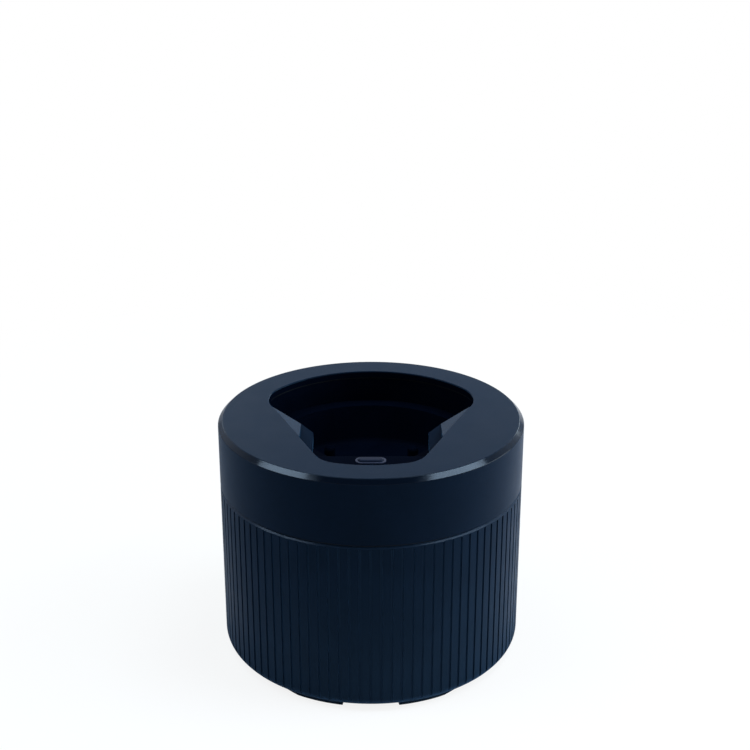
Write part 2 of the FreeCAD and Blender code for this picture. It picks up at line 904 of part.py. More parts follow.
def chassis_seal():
    high = seal_groove_low + seal_height
    return turned([
        (seal_inner_radius, seal_groove_low),
        (seal_outer_radius - seal_lip, seal_groove_low),
        (seal_outer_radius, seal_groove_low + seal_lip_height),
        (seal_outer_radius, high - seal_lip_height),
        (seal_outer_radius - seal_lip, high),
        (seal_inner_radius, high),
    ])


def chassis_screws():
    return Part.makeCompound([screw(x, y, plate_low, chassis_screw, -1) for x, y in boss_places()])


# ---- Pump ----

def around_pump(distance, turn_angle):
    """A point beside the pump, at an angle from the direction of the pod's axis."""
    offset = polar(distance, pump_heading + 180.0 + turn_angle)
    return PUMP.x + offset.x, PUMP.y + offset.y


def pump_screw_places():
    return [around_pump(lug_distance, angle) for angle in lug_turns]


def bracket_screw_places():
    return [around_pump(bracket_ear_distance, angle) for angle in bracket_ear_turns]


def inwards():
    """The level direction from the pump to the pod's axis."""
    return polar(1.0, pump_heading + 180.0)


def pump_body(low, high):
    """The pump's round outline with its four screw lugs."""
    lugs = [cylinder(lug_radius, low, high, x, y) for x, y in pump_screw_places()]
    return fused([cylinder(pump_radius, low, high, PUMP.x, PUMP.y)] + lugs)


def pump_housing():
    tower = cylinder(outlet_tower_radius, pump_split, plate_low, OUTLET.x, OUTLET.y)
    bridge = block((0, outlet_distance), (-outlet_bridge, outlet_bridge), (pump_split, plate_low))
    bridge.rotate(ORIGIN, UP, pump_heading + 180.0)
    bridge.translate(PUMP)
    body = fused([pump_body(pump_split, plate_low), tower, bridge])
    body = drilled(body, chamber_radius, [(PUMP.x, PUMP.y)], high=chamber_top)
    body = drilled(body, bearing_radius, [(PUMP.x, PUMP.y)])
    body = body.cut(lying(outlet_channel, PUMP + UP * outlet_height, inwards(), outlet_distance))
    body = drilled(body, riser_radius + riser_gap, [(OUTLET.x, OUTLET.y)], low=riser_low)
    return drilled(body, pump_screw.shank_radius, pump_screw_places())


def pump_gasket():
    return tube(gasket_outer, gasket_inner, pump_split - gasket_depth, pump_split, PUMP.x, PUMP.y)


def pump_cover():
    body = pump_body(pump_bottom, pump_split).cut(pump_gasket())
    body = drilled(body, pipe_radius, [(PUMP.x, PUMP.y)])
    body = drilled(body, pump_screw.shank_radius, pump_screw_places())
    return drilled(body, lug_recess_radius, pump_screw_places(), high=pump_bottom + lug_recess_depth)


def pump_screws():
    seat = pump_bottom + lug_recess_depth
    return Part.makeCompound([screw(x, y, seat, pump_screw, -1) for x, y in pump_screw_places()])


def pump_elbow():
    """The outlet riser through the chassis, ending in a barb towards the nozzle."""
    top = hose_height + riser_cap
    turn_place = OUTLET + UP * hose_height
    riser = cylinder(riser_radius, riser_low, top, OUTLET.x, OUTLET.y)
    riser = riser.makeFillet(riser_round, edges_above(riser, top))
    elbow = fused([riser, lying(barb_radius, turn_place, V(1, 0, 0), barb_reach)])
    inlet_place = OUTLET + UP * outlet_height
    channels = [
        lying(outlet_channel, inlet_place, inwards() * -1, riser_radius + 1.0),
        cylinder(outlet_channel, outlet_height, hose_height, OUTLET.x, OUTLET.y),
        lying(fluid_bore, turn_place, V(1, 0, 0), barb_reach + 1.0),
    ]
    return elbow.cut(fused(channels))


def delivery_hose():
    """From the elbow's barb to the nozzle's barb, with a gentle sideways bow."""
    start = OUTLET + V(hose_start, 0, hose_height)
    end = V(-hose_start, nozzle_y, hose_height)
    straight = V(hose_straight, 0, 0)
    route = [start, start + straight, end - straight, end]
    outside = bent_rod(route, hose_radius, hose_bend)
    return outside.cut(bent_rod(route, barb_radius + hose_slack, hose_bend))


def shaft_seal():
    return tube(bearing_radius, shaft_radius + seal_bore_gap, chamber_top, plate_low, PUMP.x, PUMP.y)


def suction_pipe():
    return tube(pipe_radius, pipe_bore, pipe_low, pump_split, PUMP.x, PUMP.y)


def suction_strainer():
    """A slotted foot on the suction pipe, just above the tub's floor."""
    low = tub_low + tub_wall + strainer_foot_gap
    wall = pipe_radius - pipe_bore
    tip = cylinder(pipe_radius, low, pipe_low)
    tip = tip.makeFillet(strainer_round, edges_below(tip, low))
    side = (-strainer_slot_width / 2, strainer_slot_width / 2)
    slot = block((0, FAR), side, (low + wall, pipe_low - strainer_round))
    slots = [turn(slot, 360.0 * k / strainer_slots) for k in range(strainer_slots)]
    tip = tip.cut(fused([cylinder(pipe_bore, low + strainer_round, FAR)] + slots))
    tip.translate(PUMP)
    return tip


# ---- Motor ----

def motor_bracket():
    plate = cylinder(motor_radius, plate_high, motor_low, PUMP.x, PUMP.y)
    places = bracket_screw_places()
    ears = [cylinder(bracket_ear_radius, plate_high, motor_low, x, y) for x, y in places]
    strap_width = (-bracket_ear_radius, bracket_ear_radius)
    strap = block(strap_width, (-bracket_ear_distance, bracket_ear_distance), (plate_high, motor_low))
    strap.rotate(ORIGIN, UP, pump_heading)
    strap.translate(PUMP)
    body = fused([plate, strap] + ears)
    body = drilled(body, bracket_screw.shank_radius, places)
    return drilled(body, bearing_radius + shaft_clearance, [(PUMP.x, PUMP.y)])


def bracket_screws():
    places = bracket_screw_places()
    return Part.makeCompound([screw(x, y, motor_low, bracket_screw) for x, y in places])


def motor_can():
    can = cylinder(motor_radius, motor_low, motor_high, PUMP.x, PUMP.y)
    can = can.makeFillet(motor_foot_round, edges_below(can, motor_low))
    can = drilled(can, motor_radius - motor_skin, [(PUMP.x, PUMP.y)], low=motor_low + motor_skin)
    return drilled(can, bearing_radius, [(PUMP.x, PUMP.y)])


def motor_bearing():
    high = motor_low + bearing_length
    return tube(bearing_radius, shaft_radius + seal_bore_gap, motor_low, high, PUMP.x, PUMP.y)


def motor_magnets():
    """Two arc magnets inside the can."""
    low = motor_low + magnet_end_gap
    high = motor_high - magnet_end_gap
    ring = tube(motor_radius - motor_skin, magnet_bore, low, high)
    arc = ring.common(beyond(magnet_side_gap, 0.0, 0, FAR))
    magnets = Part.makeCompound([turn(arc, pump_heading), turn(arc, pump_heading + 180.0)])
    magnets.translate(PUMP)
    return magnets


def terminal_blades():
    reach = (motor_cap_high - terminal_root, motor_cap_high + terminal_reach)
    across = (PUMP.y - terminal_width / 2, PUMP.y + terminal_width / 2)
    blades = []
    for side in SIDES:
        x = PUMP.x + side * terminal_offset
        blades.append(block((x - terminal_thickness / 2, x + terminal_thickness / 2), across, reach))
    return blades


def motor_terminals():
    return Part.makeCompound(terminal_blades())


def motor_end_cap():
    cap = cylinder(motor_radius, motor_high, motor_cap_high, PUMP.x, PUMP.y)
    cap = cap.makeFillet(motor_cap_round, edges_above(cap, motor_cap_high))
    shaft_end = motor_cap_high - shaft_end_gap + seal_bore_gap
    cap = drilled(cap, shaft_radius + seal_bore_gap, [(PUMP.x, PUMP.y)], high=shaft_end)
    return cap.cut(motor_terminals())


def motor_shaft():
    low = pump_split + shaft_lift
    shaft = cylinder(shaft_radius, low, motor_cap_high - shaft_end_gap, PUMP.x, PUMP.y)
    return shaft.makeFillet(shaft_tip_round, edges_below(shaft, low))


def motor_armature():
    """A three-pole laminated core with its commutator."""
    low = motor_low + armature_end_gap
    high = motor_high - armature_end_gap
    core = tube(armature_radius, shaft_radius, low, high)
    gap = block((pole_gap_root, FAR), (-pole_gap / 2, pole_gap / 2), (0, FAR))
    slot = cylinder(winding_slot_radius, 0, FAR, winding_slot_distance, 0)
    for k in range(3):
        core = core.cut(turn(gap, 120.0 * k)).cut(turn(slot, 120.0 * k + 60.0))
    commutator = tube(commutator_radius, shaft_radius, high, motor_high - commutator_end_gap)
    body = fused([core, commutator])
    body.translate(PUMP)
    return body


def pump_impeller():
    """A disc with swept blades under it."""
    low = pump_split + impeller_lift
    high = low + impeller_height
    disc_low = high - impeller_disc
    disc = cylinder(impeller_radius, disc_low, high)
    hub = cylinder(impeller_hub_radius, low, high)
    side = (-blade_thickness / 2, blade_thickness / 2)
    blade = block((blade_root, impeller_radius), side, (low, disc_low))
    blade.rotate(V(blade_root, 0, 0), UP, blade_sweep)
    blades = [turn(blade, 360.0 * k / impeller_blades) for k in range(impeller_blades)]
    body = fused([disc, hub] + blades).common(cylinder(impeller_radius, low, high))
    body = drilled(body, shaft_radius, [(0, 0)])
    body.translate(PUMP)
    return body


# ---- Battery ----

def battery_cell():
    shoulder = battery_high - battery_pole_height
    can = cylinder(battery_radius, battery_low, shoulder, BATTERY.x, BATTERY.y)
    can = can.makeFillet(battery_edge_round, [e for e in can.Edges if len(e.Vertexes) == 1])
    pole_low = shoulder - battery_pole_height
    return fused([can, cylinder(battery_pole_radius, pole_low, battery_high, BATTERY.x, BATTERY.y)])


def battery_cradle():
    floor = plate_high + cradle_floor
    outside = battery_radius + cradle_wall
    cradle = cylinder(outside, plate_high, battery_low + cradle_depth, BATTERY.x, BATTERY.y)
    cradle = drilled(cradle, battery_radius + cradle_gap, [(BATTERY.x, BATTERY.y)], low=floor)
    notch = block((-FAR, FAR), (-cradle_notch / 2, cradle_notch / 2), (floor, FAR))
    notch.translate(V(0, BATTERY.y, 0))
    return cradle.cut(notch)


def battery_tabs():
    """Nickel strips welded to the two ends of the cell."""
    x, y = BATTERY.x, BATTERY.y
    half = tab_width / 2
    across = (y - half, y + half)
    low = battery_low - tab_thickness
    top = block(
        (x - half, x + half),
        (y - tab_top_front, y + tab_top_back),
        (battery_high, battery_high + tab_thickness),
    )
    bottom = block((x - tab_reach, x + tab_tail), across, (low, battery_low))
    leg = block((x - tab_reach, x - tab_reach + tab_thickness), across, (low, battery_low + tab_leg))
    return Part.makeCompound([top, fused([bottom, leg])])


# ---- Control board and power button ----

def both_sides(place):
    """A place on the right and its mirror on the left."""
    return [(side * place[0], place[1]) for side in SIDES]


def control_screw_places():
    return both_sides(control_post)


def charge_screw_places():
    return both_sides(charge_post)


def circuit_board(half_width, y_range, low, corner, screw_places):
    board = block((-half_width, half_width), y_range, (low, low + board_thickness))
    board = board.makeFillet(corner, upright_edges(board))
    return drilled(board, board_hole, screw_places)


def control_board():
    return circuit_board(control_board_x, control_board_y, control_board_low,
                         control_board_corner, control_screw_places())


def hung_block(x_range, y_range, depth):
    """A block-shaped component on the underside of the control board."""
    return block(x_range, y_range, (control_board_low - depth, control_board_low))


def board_components():
    """Chips, a coil and the lead sockets, all under the control board."""
    coil = hung_block(*coil_block)
    coil = coil.makeFillet(coil_round, upright_edges(coil))
    can_low = control_board_low - capacitor_height
    capacitor = cylinder(capacitor_radius, can_low, control_board_low, *capacitor_place)
    sockets = []
    for side in SIDES:
        x = side * lead_socket_x
        x_range = (x - lead_socket_half, x + lead_socket_half)
        sockets.append(hung_block(x_range, lead_socket_y, lead_socket_height))
    chips = [hung_block(*controller_chip), hung_block(*charger_chip)]
    return Part.makeCompound(chips + [coil, capacitor] + sockets)


def switch_low():
    return control_board_low + board_thickness


def tact_switch():
    half = switch_half_width
    low = switch_low()
    high = low + switch_height
    body = block((-half, half), (button_y - half, button_y + half), (low, high))
    plunger_top = high + switch_plunger_height
    return fused([body, cylinder(switch_plunger_radius, low, plunger_top, 0, button_y)])


def indicator_leds():
    leds = []
    across = (button_y - led_half_width, button_y + led_half_width)
    for side in SIDES:
        x = side * led_distance
        along = (x - led_half_length, x + led_half_length)
        leds.append(block(along, across, (switch_low(), switch_low() + led_height)))
    return Part.makeCompound(leds)


def button_light_ring():
    """A smoked clear ring round the button, lit from below."""
    ring = pill(ring_length, ring_width, ring_low, ring_high, 0, button_y)
    hole_length = button_length + 2 * button_gap
    hole_width = button_width + 2 * button_gap
    return ring.cut(pill(hole_length, hole_width, ring_low - 1.0, ring_high + 1.0, 0, button_y))


def button_foot_low():
    return shelf_height - tray_wall - button_foot_drop


def power_button():
    """A pill-shaped cap with a wide foot that holds it under the shelf, and a stem."""
    low = button_foot_low()
    cap = pill(button_length, button_width, low, button_top, 0, button_y)
    cap = cap.makeFillet(button_crown_round, edges_above(cap, button_top))
    foot = pill(button_foot_length, button_foot_width, low, low + button_foot_height, 0, button_y)
    plunger_top = switch_low() + switch_height + switch_plunger_height
    stem_low = plunger_top + button_travel + button_free_play
    stem = cylinder(button_stem_radius, stem_low, low + button_foot_height, 0, button_y)
    return fused([cap, foot, stem])


def button_boot():
    """A silicone boot round the stem that pushes the button back up."""
    low = switch_low() + switch_height
    high = button_foot_low()
    boot = turned([
        (boot_foot_bore, low),
        (boot_foot_radius, low),
        (boot_foot_radius, low + boot_foot_height),
        (boot_neck_radius, high - boot_neck_height),
        (boot_neck_radius, high),
        (boot_neck_bore, high),
        (boot_neck_bore, high - boot_neck_height),
        (boot_foot_bore, low + boot_foot_height),
    ])
    boot.translate(V(0, button_y, 0))
    return boot


def board_screws():
    screws = []
    for board_low, places in (
        (control_board_low, control_screw_places()),
        (charge_board_low, charge_screw_places()),
    ):
        screws += [screw(x, y, board_low + board_thickness, board_screw) for x, y in places]
    return Part.makeCompound(screws)


# ---- Charging socket ----

def charge_board():
    return circuit_board(charge_board_x, charge_board_y, charge_board_low,
                         charge_board_corner, charge_screw_places())


def charge_socket():
    shell = pill(socket_width, socket_height, socket_inner_y, socket_outer_y)
    length = socket_width - 2 * socket_skin
    width = socket_height - 2 * socket_skin
    mouth = pill(length, width, socket_inner_y + socket_back, socket_outer_y + 1.0)
    return facing_back(shell.cut(mouth))


def socket_tongue():
    x_range = (-tongue_half_width, tongue_half_width)
    thickness = (-tongue_thickness / 2, tongue_thickness / 2)
    reach = (socket_inner_y + socket_back, socket_outer_y - tongue_recess)
    return facing_back(block(x_range, thickness, reach))


# ---- Leads ----

def lead(points):
    """One insulated wire along a bent route."""
    return bent_rod(points, lead_radius, lead_bend)


def motor_leads():
    """From the two motor terminals, round the front of the left shoulder, to the board."""
    height = motor_cap_high + lead_clip_height
    beside = terminal_thickness / 2 + lead_radius
    outer_x = PUMP.x - terminal_offset + beside
    inner_x = PUMP.x + terminal_offset + beside
    outer = [
        V(outer_x, PUMP.y, height),
        V(outer_x, -22.5, height),
        V(-34.0, -30.5, 76.0),
        V(-27.0, -36.0, lead_entry),
        V(-lead_entry_x, -39.0, lead_entry),
    ]
    inner = [
        V(inner_x, PUMP.y, height),
        V(inner_x, -24.0, height),
        V(-30.0, -29.5, 76.0),
        V(-24.5, -34.8, lead_entry),
        V(-lead_entry_x, -37.5, lead_entry),
    ]
    return Part.makeCompound([lead(outer), lead(inner)])


def battery_leads():
    """From the two battery tabs to the board's right socket."""
    height = battery_high + tab_thickness + lead_radius
    plus = [
        V(36.6, -19.0, height),
        V(36.6, -23.5, height),
        V(34.0, -29.0, 77.0),
        V(25.0, -36.5, lead_entry),
        V(16.5, -38.0, lead_entry),
        V(lead_entry_x, -38.0, lead_entry),
    ]
    minus = [
        V(BATTERY.x - tab_reach - lead_radius, BATTERY.y, 60.5),
        V(26.1, -24.0, 64.0),
        V(22.0, -33.0, lead_entry),
        V(16.5, -37.0, lead_entry),
        V(lead_entry_x, -37.0, lead_entry),
    ]
    return Part.makeCompound([lead(plus), lead(minus)])


def charge_leads():
    """From the charging board, round the right side of the basin, to the board."""
    wires = []
    for lift, start_z, end_y in ((0.0, 66.4, -39.0), (1.0, 67.2, -40.0)):
        wires.append(lead([
            V(charge_board_x, 45.0, start_z),
            V(14.5, 44.5, 66.0 + lift),
            V(22.0, 36.0, 62.0 + lift),
            V(33.0, 22.0, 60.0 + lift),
            V(38.0, 8.0, 60.0 + lift),
            V(28.5, -6.0, 60.0 + lift),
            V(22.5, -22.0, 61.0 + lift),
            V(21.0, -34.0, 65.5 + lift),
            V(17.0, end_y, lead_entry),
            V(lead_entry_x, end_y, lead_entry),
        ]))
    return Part.makeCompound(wires)


PARTS = {
    "base_cup": base_cup,
    "foot_pads": foot_pads,
    "cartridge_tub": cartridge_tub,
    "cartridge_lid": cartridge_lid,
    "intake_seal": intake_seal,
    "filter_basket": filter_basket,
    "cartridge_filter": cartridge_filter,
    "top_cover": top_cover,
    "shaver_tray": shaver_tray,
    "tray_gasket": tray_gasket,
    "drain_grille": drain_grille,
    "spray_nozzle": spray_nozzle,
    "chassis": chassis,
    "chassis_seal": chassis_seal,
    "chassis_screws": chassis_screws,
    "pump_housing": pump_housing,
    "pump_cover": pump_cover,
    "pump_gasket": pump_gasket,
    "pump_screws": pump_screws,
    "pump_elbow": pump_elbow,
    "delivery_hose": delivery_hose,
    "shaft_seal": shaft_seal,
    "suction_pipe": suction_pipe,
    "suction_strainer": suction_strainer,
    "motor_bracket": motor_bracket,
    "bracket_screws": bracket_screws,
    "motor_can": motor_can,
    "motor_bearing": motor_bearing,
    "motor_magnets": motor_magnets,
    "motor_end_cap": motor_end_cap,
    "motor_terminals": motor_terminals,
    "motor_shaft": motor_shaft,
    "motor_armature": motor_armature,
    "pump_impeller": pump_impeller,
    "battery_cell": battery_cell,
    "battery_cradle": battery_cradle,
    "battery_tabs": battery_tabs,
    "control_board": control_board,
    "board_components": board_components,
    "tact_switch": tact_switch,
    "indicator_leds": indicator_leds,
    "button_light_ring": button_light_ring,
    "power_button": power_button,
    "button_boot": button_boot,
    "board_screws": board_screws,
    "charge_board": charge_board,
    "charge_socket": charge_socket,
    "socket_tongue": socket_tongue,
    "motor_leads": motor_leads,
    "battery_leads": battery_leads,
    "charge_leads": charge_leads,
}

os.makedirs("parts", exist_ok=True)
for node, make in PARTS.items():
    make().exportStep("parts/" + node + ".step")
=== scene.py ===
import json
import math

import bmesh
import bpy
from mathutils import Matrix, Vector


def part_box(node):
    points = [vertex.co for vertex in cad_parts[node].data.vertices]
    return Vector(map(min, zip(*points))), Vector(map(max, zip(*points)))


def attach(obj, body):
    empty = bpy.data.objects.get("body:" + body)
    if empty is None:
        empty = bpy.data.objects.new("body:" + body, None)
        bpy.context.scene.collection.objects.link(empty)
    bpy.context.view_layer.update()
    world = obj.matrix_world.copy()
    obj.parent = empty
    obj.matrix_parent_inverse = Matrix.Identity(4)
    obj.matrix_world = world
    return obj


# The shaver cleaning station: finishes, a dark film of painted shade on the bay's wall, studio
# and camera around the imported frame.
# The scene is in metres, +Z up, front towards -Y. Sizes on the pod, the places that materials
# work with and the depths of their relief are in millimetres.

MM = 0.001

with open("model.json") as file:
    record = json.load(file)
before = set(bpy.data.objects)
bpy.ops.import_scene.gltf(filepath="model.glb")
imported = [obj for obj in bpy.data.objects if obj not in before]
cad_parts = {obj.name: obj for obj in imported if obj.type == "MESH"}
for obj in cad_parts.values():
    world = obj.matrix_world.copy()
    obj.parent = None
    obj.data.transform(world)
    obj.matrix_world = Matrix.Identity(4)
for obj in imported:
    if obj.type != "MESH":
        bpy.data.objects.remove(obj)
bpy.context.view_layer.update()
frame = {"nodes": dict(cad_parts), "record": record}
nodes = frame["nodes"]


# ---- Sizes on the pod ----

COVER_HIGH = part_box("top_cover")[1]
RADIUS = COVER_HIGH.x / MM
TOP = COVER_HIGH.z / MM
CUP_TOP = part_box("base_cup")[1].z / MM
CUP_CHAMFER = 0.6
GROOVE_DEPTH = 0.5
BEVEL = 1.6
BAY_RADIUS = 42.0
FACET_INNER_X = 24.5
FACET_DEPTH = 6.0


# ---- Camera ----

FOCAL_PIXELS = 1384.7
IMAGE_PIXELS = 750.0
AXIS_ROW = 372.0
SENSOR_WIDTH = 36.0
NEAREST_SEEN, FARTHEST_SEEN = 0.01, 50.0
CAMERA_PLACE = Vector((1.4, -451.36, 278.8)) * MM
CAMERA_PITCH = math.radians(21.27)


def make_camera():
    data = bpy.data.cameras.new("camera")
    data.sensor_width = SENSOR_WIDTH
    data.lens = FOCAL_PIXELS / IMAGE_PIXELS * data.sensor_width
    data.shift_y = (AXIS_ROW - IMAGE_PIXELS / 2) / IMAGE_PIXELS
    data.clip_start = NEAREST_SEEN
    data.clip_end = FARTHEST_SEEN
    camera = bpy.data.objects.new("camera", data)
    bpy.context.scene.collection.objects.link(camera)
    tilt = Matrix.Rotation(math.pi / 2 - CAMERA_PITCH, 4, "X")
    camera.matrix_world = Matrix.Translation(CAMERA_PLACE) @ tilt
    bpy.context.scene.camera = camera


# ---- Nodes for materials and studio ----

def feed(tree, socket, value):
    """Link an output to an input, or set the input to a plain value."""
    if isinstance(value, bpy.types.NodeSocket):
        tree.links.new(value, socket)
    else:
        socket.default_value = value


def calculate(tree, operation, first, second=0.0):
    node = tree.nodes.new("ShaderNodeMath")
    node.operation = operation
    feed(tree, node.inputs[0], first)
    feed(tree, node.inputs[1], second)
    return node.outputs[0]


def map_range(tree, value, low, high, to_low=0.0, to_high=1.0):
    """A value remapped from one range to another, held at its ends."""
    node = tree.nodes.new("ShaderNodeMapRange")
    for socket, given in zip(node.inputs, (value, low, high, to_low, to_high)):
        feed(tree, socket, given)
    return node.outputs[0]


# The parts of a noise's range over which colour patches and roughness change.
PATCH_LOW, PATCH_HIGH = 0.35, 0.65
WANDER_LOW, WANDER_HIGH = 0.3, 0.7

# The lowest roughness that a wandering finish takes, and half the width of a mask's soft edge.
SMOOTHEST = 0.02
MASK_EDGE = 0.05


class Graph:
    """A material's node tree, with short calls for the nodes that the finishes use."""

    def __init__(self, name, color, roughness):
        self.material = bpy.data.materials.new(name)
        self.material.use_nodes = True
        self.tree = self.material.node_tree
        self.shader = self.tree.nodes["Principled BSDF"]
        self.set("Base Color", (*color, 1.0))
        self.set("Roughness", roughness)
        self.color = color
        self.roughness = roughness
        place = self.add("ShaderNodeTexCoord").outputs["Object"]
        self.place = self.scaled(place, (1.0 / MM,) * 3)
        self.axes = self.add("ShaderNodeSeparateXYZ", Vector=self.place).outputs

    def set(self, name, value):
        feed(self.tree, self.shader.inputs[name], value)

    def add(self, kind, **inputs):
        node = self.tree.nodes.new(kind)
        for name, value in inputs.items():
            feed(self.tree, node.inputs[name.replace("_", " ")], value)
        return node

    def math(self, operation, first, second=0.0):
        return calculate(self.tree, operation, first, second)

    def product(self, first, second):
        return self.math("MULTIPLY", first, second)

    def spread(self, value, low, high, to_low=0.0, to_high=1.0):
        return map_range(self.tree, value, low, high, to_low, to_high)

    def scaled(self, vector, factors):
        node = self.tree.nodes.new("ShaderNodeVectorMath")
        node.operation = "MULTIPLY"
        feed(self.tree, node.inputs[0], vector)
        feed(self.tree, node.inputs[1], factors)
        return node.outputs["Vector"]

    def stretched(self, factors):
        """The place scaled along each axis: a small factor draws a pattern out that way."""
        return self.scaled(self.place, factors)

    def noise(self, scale, detail=3.0, roughness=0.55, place=None):
        """Soft noise from 0 to 1; scale is in features per millimetre."""
        node = self.add("ShaderNodeTexNoise", Scale=scale, Detail=detail, Roughness=roughness,
                        Vector=place or self.place)
        return node.outputs["Fac"]

    def mix(self, factor, first, second):
        node = self.tree.nodes.new("ShaderNodeMix")
        node.data_type = "RGBA"
        feed(self.tree, node.inputs[0], factor)
        sockets = [socket for socket in node.inputs if socket.type == "RGBA"]
        for socket, value in zip(sockets, (first, second)):
            if not isinstance(value, bpy.types.NodeSocket):
                value = (*value, 1.0)
            feed(self.tree, socket, value)
        return [socket for socket in node.outputs if socket.type == "RGBA"][0]

    def radius(self):
        """Distance from the pod's axis."""
        squares = [self.product(self.axes[axis], self.axes[axis]) for axis in "XY"]
        return self.math("SQRT", self.math("ADD", *squares))

    def within(self, value, low, high, edge=MASK_EDGE):
        """1 where a value lies between two limits, fading over an edge each side of them."""
        above = self.spread(value, low - edge, low + edge)
        below = self.spread(value, high - edge, high + edge, 1.0, 0.0)
        return self.product(above, below)

    def bump(self, height, depth, strength=1.0):
        """Relief of a depth in millimetres."""
        node = self.add("ShaderNodeBump", Height=height, Distance=depth * MM, Strength=strength)
        self.set("Normal", node.outputs["Normal"])

    def tones(self, scale, share, color=None):
        """The colour, lighter and darker by a share of itself in soft patches."""
        color = color or self.color
        dark = tuple(c * (1 - share) for c in color)
        light = tuple(min(1.0, c * (1 + share)) for c in color)
        return self.mix(self.spread(self.noise(scale), PATCH_LOW, PATCH_HIGH), dark, light)

    def wandering(self, noise, amount):
        """Roughness that wanders with a noise about the material's own value."""
        smoother = max(SMOOTHEST, self.roughness - amount)
        rougher = min(1.0, self.roughness + amount)
        return self.spread(noise, WANDER_LOW, WANDER_HIGH, smoother, rougher)


# ---- Finishes of the pod's blue shells ----

NAVY = (0.001, 0.003, 0.0088)
# Painted shade: the cap's bevel is given a darker colour.
SHADED_BEVEL_NAVY = (0.0004, 0.0014, 0.0045)
# Painted highlight: a lighter band along the cap's upper edge.
EDGE_HIGHLIGHT_NAVY = (0.004, 0.008, 0.016)
# Painted light: the facets in the cap's opening are given a lighter colour.
LIT_FACET_NAVY = (0.003, 0.009, 0.02)
CUP_NAVY = (0.0018, 0.0052, 0.013)
# Painted light: the cup gets lighter towards its foot, as if lit from the floor.
FLOOR_LIT_NAVY = (0.004, 0.0095, 0.0195)
# Painted light: the grooves are given a lighter colour against the shadow in them.
LIT_GROOVE_NAVY = (0.008, 0.019, 0.04)
# Painted highlight: the cup's rim chamfer is given a lighter colour.
RIM_HIGHLIGHT_NAVY = (0.006, 0.014, 0.03)
# Heights on the cup between which its painted floor light begins and is full.
FLOOR_LIGHT_TOP, FLOOR_LIGHT_FULL = 55.0, 12.0

NAVY_GLOSS = 0.035
GLOSS_TINT = (0.5, 0.75, 1.0, 1.0)
BLOOM, BLOOM_SPREAD = 0.12, 0.5
BLOOM_TINT = (0.2, 0.5, 0.97, 1.0)
GLAZE = 0.15
BEVEL_POLISH, RIM_POLISH = 0.24, 0.15
FACET_SHARE = 0.6
POLISHED_GRAIN = 0.15
# Size of the painted highlight along the cap's upper edge.
HIGHLIGHT_WIDTH, HIGHLIGHT_HEIGHT, HIGHLIGHT_EDGE = 0.6, 0.2, 0.03

# How far the cap's masks stay below its flat top, how far they fade along its radius, and how
# far the facets' mask reaches past their inner ends.
BEVEL_BELOW, HIGHLIGHT_BELOW, FACET_BELOW = 0.02, 0.04, 0.06
RING_FADE, BAY_FADE = 0.2, 0.5
FACET_MARGIN = 0.1

# Where the painted light against the grooves' shadow ends: towards their mouth as a share of
# their depth, and below the cup's top in chamfers, from where it begins to fade to where it is
# gone.
GROOVE_MOUTH = 0.1
GROOVE_FULL, GROOVE_GONE = 2.0, 1.5

PATCH_SCALE, PATCH_SHARE = 0.07, 0.10
MARK_SCALE, MARK_DETAIL = 0.12, 4.0
GRAIN_SCALE, GRAIN_DETAIL, GRAIN_DEPTH = 3.5, 2.0, 0.02


def coated(name, color, roughness):
    """Blue-coated matt plastic, with the soft bloom that it shows at a glancing angle."""
    graph = Graph(name, color, roughness)
    graph.set("Specular IOR Level", NAVY_GLOSS)
    graph.set("Specular Tint", GLOSS_TINT)
    graph.set("Sheen Weight", BLOOM)
    graph.set("Sheen Roughness", BLOOM_SPREAD)
    graph.set("Sheen Tint", BLOOM_TINT)
    return graph


def cover_plastic(name):
    """The cap: a glazed bevel darkened with painted shade, a painted highlight along its upper
    edge, and two facets lightened with painted light.
    """
    graph = coated(name, NAVY, roughness=0.36)
    height, out = graph.axes["Z"], graph.radius()
    side = graph.math("ABSOLUTE", graph.axes["X"])
    flat_radius = RADIUS - BEVEL

    bevel = graph.product(graph.within(height, TOP - BEVEL, TOP - BEVEL_BELOW),
                          graph.spread(out, flat_radius - RING_FADE, flat_radius))
    # Painted highlight: a lighter band just under the cap's top edge.
    highlight_radius = flat_radius - HIGHLIGHT_WIDTH
    edge = graph.product(graph.within(height, TOP - HIGHLIGHT_HEIGHT, TOP - HIGHLIGHT_BELOW, HIGHLIGHT_EDGE),
                         graph.spread(out, highlight_radius, highlight_radius + RING_FADE))
    in_bay = graph.spread(out, BAY_RADIUS, BAY_RADIUS + BAY_FADE, 1.0, 0.0)
    facet = graph.product(graph.within(side, FACET_INNER_X - FACET_MARGIN, BAY_RADIUS),
                          graph.within(height, TOP - FACET_DEPTH, TOP - FACET_BELOW))
    facet = graph.product(facet, in_bay)

    # Painted light: the facets take a lighter colour.
    shade = graph.mix(facet, graph.tones(PATCH_SCALE, PATCH_SHARE),
                      graph.tones(scale=0.2, share=0.08, color=LIT_FACET_NAVY))
    # Painted shade: the bevel takes the darker colour.
    shade = graph.mix(bevel, shade, SHADED_BEVEL_NAVY)
    graph.set("Base Color", graph.mix(edge, shade, EDGE_HIGHLIGHT_NAVY))

    polish = graph.math("MAXIMUM", bevel, graph.product(facet, FACET_SHARE))
    matt = graph.wandering(graph.noise(MARK_SCALE, MARK_DETAIL), amount=0.03)
    graph.set("Roughness", graph.math("SUBTRACT", matt, graph.product(polish, BEVEL_POLISH)))
    graph.set("Coat Weight", graph.product(bevel, GLAZE))
    graph.set("Coat Roughness", 0.1)
    graph.bump(graph.noise(GRAIN_SCALE, GRAIN_DETAIL), GRAIN_DEPTH,
               strength=graph.spread(polish, 0.0, 1.0, 1.0, POLISHED_GRAIN))
    return graph.material


